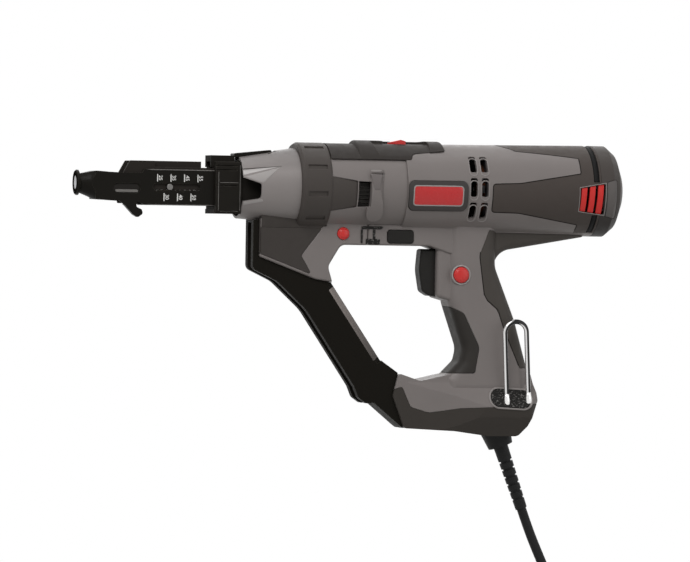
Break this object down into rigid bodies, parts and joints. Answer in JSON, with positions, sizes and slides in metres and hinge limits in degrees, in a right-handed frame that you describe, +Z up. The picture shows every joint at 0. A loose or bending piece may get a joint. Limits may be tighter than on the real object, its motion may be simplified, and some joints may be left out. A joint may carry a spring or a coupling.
{
  "type": "drywall screwdriver",
  "caption": "Corded drywall screwdriver with a strip feed nose, a guide arm that closes round the hand, an adjustable nosepiece and depth stop, and a geared motor.",
  "frame": {"origin": "middle of the grip, on the parting plane", "axes": "+X from the nose to the tail along the spindle, +Y to the tool's right, +Z up"},
  "size_m": [0.4095, 0.067, 0.5083],
  "materials": {
    "grey_shell": "satin moulded grey",
    "soft_grip": "matt soft overmould",
    "dark_plastic": "fine textured dark grey",
    "black_plastic": "satin black",
    "red_plastic": "glossy red",
    "brass": "bright",
    "gear_steel": "machined and hardened",
    "lamination": "stacked laminations",
    "cast_alloy": "as cast",
    "carbon": "matt carbon",
    "chrome_wire": "bright plated wire",
    "cord_rubber": "matt black rubber",
    "plug_plastic": "moulded black",
    "tie_fabric": "woven hook and loop",
    "pin_metal": "nickel plated"
  },
  "bodies": {
    "housing": {"motor_housing_left": "grey_shell", "motor_housing_right": "grey_shell", "front_housing_left": "grey_shell", "front_housing_right": "grey_shell", "nose_cone": "grey_shell", "leg_panels": "grey_shell", "cap_inserts": "grey_shell", "handle_grips": "soft_grip", "tail_sleeve": "soft_grip", "base_shoe": "dark_plastic", "collar_ring": "dark_plastic", "top_cover": "dark_plastic", "rear_cap": "dark_plastic", "feed_rail": "black_plastic", "guide_block": "black_plastic", "badge": "black_plastic", "switch_body": "black_plastic", "vent_grilles": "red_plastic", "brush_holders": "brass", "field_coils": "brass", "spindle_bush": "brass", "ring_gear": "gear_steel", "motor_bearings": "gear_steel", "housing_screws": "gear_steel", "return_spring": "gear_steel", "stator_core": "lamination", "gear_case": "cast_alloy", "carbon_brushes": "carbon", "belt_hook": "chrome_wire", "cord_guard": "cord_rubber", "cord_lead": "cord_rubber", "cord_coil": "cord_rubber", "cord_tail": "cord_rubber", "plug_body": "plug_plastic", "cord_tie": "tie_fabric", "plug_pins": "pin_metal"},
    "rotor": {"motor_shaft": "gear_steel", "cooling_fan": "black_plastic", "armature_core": "lamination", "armature_windings": "brass"},
    "carrier": {"planet_carrier": "gear_steel", "clutch_spring": "gear_steel"},
    "planet_1": {"planet_gear_1": "gear_steel"},
    "planet_2": {"planet_gear_2": "gear_steel"},
    "planet_3": {"planet_gear_3": "gear_steel"},
    "spindle": {"clutch_spindle": "gear_steel", "driver_bit": "gear_steel"},
    "feed": {"feed_slide": "black_plastic"},
    "nose": {"nosepiece": "black_plastic"},
    "setting": {"setting_button": "brass"},
    "sprocket": {"feed_sprocket": "black_plastic"},
    "trigger": {"trigger": "dark_plastic"},
    "lock": {"lock_button": "red_plastic"},
    "release": {"release_button": "red_plastic"},
    "module_latch": {"module_latch": "dark_plastic"},
    "direction": {"direction_slider": "red_plastic"},
    "latch": {"nose_latch": "black_plastic"},
    "wheel": {"depth_wheel": "dark_plastic"},
    "stop": {"depth_stop": "gear_steel"}
  },
  "joints": [
    {"name": "rotor_spin", "type": "hinge", "parent": "housing", "child": "rotor", "pos_m": [0.013, 0, 0.099], "axis": [1, 0, 0], "continuous": true},
    {"name": "carrier_spin", "type": "hinge", "parent": "housing", "child": "carrier", "pos_m": [-0.077, 0, 0.099], "axis": [1, 0, 0], "continuous": true},
    {"name": "spindle_press", "type": "slide", "parent": "carrier", "child": "spindle", "axis": [1, 0, 0], "range_m": [0, 0.0045], "stiffness_N_per_m": 2500, "springref_m": -0.002, "deforming": ["clutch_spring"]},
    {"name": "feed_stroke", "type": "slide", "parent": "housing", "child": "feed", "axis": [1, 0, 0], "range_m": [0, 0.038], "stiffness_N_per_m": 600, "springref_m": -0.01, "deforming": ["return_spring"]},
    {"name": "sprocket_turn", "type": "hinge", "parent": "feed", "child": "sprocket", "pos_m": [-0.251, 0, 0.0905], "axis": [0, 1, 0], "range_deg": [0, 45]},
    {"name": "nose_setting", "type": "slide", "parent": "feed", "child": "nose", "axis": [1, 0, 0], "range_m": [-0.02, 0.01]},
    {"name": "setting_press", "type": "slide", "parent": "feed", "child": "setting", "axis": [0, 1, 0], "range_m": [0, 0.0012], "stiffness_N_per_m": 1500, "springref_m": -0.001},
    {"name": "trigger_pull", "type": "slide", "parent": "housing", "child": "trigger", "axis": [1, 0, 0], "range_m": [0, 0.006], "stiffness_N_per_m": 1500, "springref_m": -0.003},
    {"name": "lock_press", "type": "slide", "parent": "housing", "child": "lock", "axis": [0, 1, 0], "range_m": [0, 0.0023], "stiffness_N_per_m": 1200, "springref_m": -0.001},
    {"name": "release_press", "type": "slide", "parent": "housing", "child": "release", "axis": [0, 1, 0], "range_m": [0, 0.002], "stiffness_N_per_m": 1200, "springref_m": -0.001},
    {"name": "module_latch_press", "type": "slide", "parent": "housing", "child": "module_latch", "axis": [0, 1, 0], "range_m": [0, 0.0025], "stiffness_N_per_m": 1500, "springref_m": -0.001},
    {"name": "direction_shift", "type": "slide", "parent": "housing", "child": "direction", "axis": [1, 0, 0], "range_m": [0, 0.009]},
    {"name": "nose_latch_lift", "type": "hinge", "parent": "housing", "child": "latch", "pos_m": [-0.165, 0, 0.1215], "axis": [0, 1, 0], "range_deg": [0, 8], "stiffness_Nm_per_rad": 0.3, "springref_deg": -2.86},
    {"name": "depth_wheel_turn", "type": "hinge", "parent": "housing", "child": "wheel", "pos_m": [-0.0983, 0, 0.099], "axis": [1, 0, 0], "range_deg": [-150, 150]},
    {"name": "depth_stop_travel", "type": "slide", "parent": "housing", "child": "stop", "axis": [1, 0, 0], "range_m": [-0.003, 0.003]},
    {"name": "planet_spin_1", "type": "hinge", "parent": "carrier", "child": "planet_1", "pos_m": [-0.0686, 0.012, 0.099], "axis": [1, 0, 0], "continuous": true},
    {"name": "planet_spin_2", "type": "hinge", "parent": "carrier", "child": "planet_2", "pos_m": [-0.0686, -0.006, 0.10939], "axis": [1, 0, 0], "continuous": true},
    {"name": "planet_spin_3", "type": "hinge", "parent": "carrier", "child": "planet_3", "pos_m": [-0.0686, -0.006, 0.08861], "axis": [1, 0, 0], "continuous": true}
  ],
  "couplings": [
    {"joint": "carrier_spin", "follows": "rotor_spin", "ratio": 0.2},
    {"joint": "planet_spin_1", "follows": "rotor_spin", "ratio": -0.53333},
    {"joint": "planet_spin_2", "follows": "rotor_spin", "ratio": -0.53333},
    {"joint": "planet_spin_3", "follows": "rotor_spin", "ratio": -0.53333},
    {"joint": "sprocket_turn", "follows": "feed_stroke", "rad_per_m": 20.668},
    {"joint": "depth_wheel_turn", "follows": "depth_stop_travel", "rad_per_m": 872.66}
  ]
}
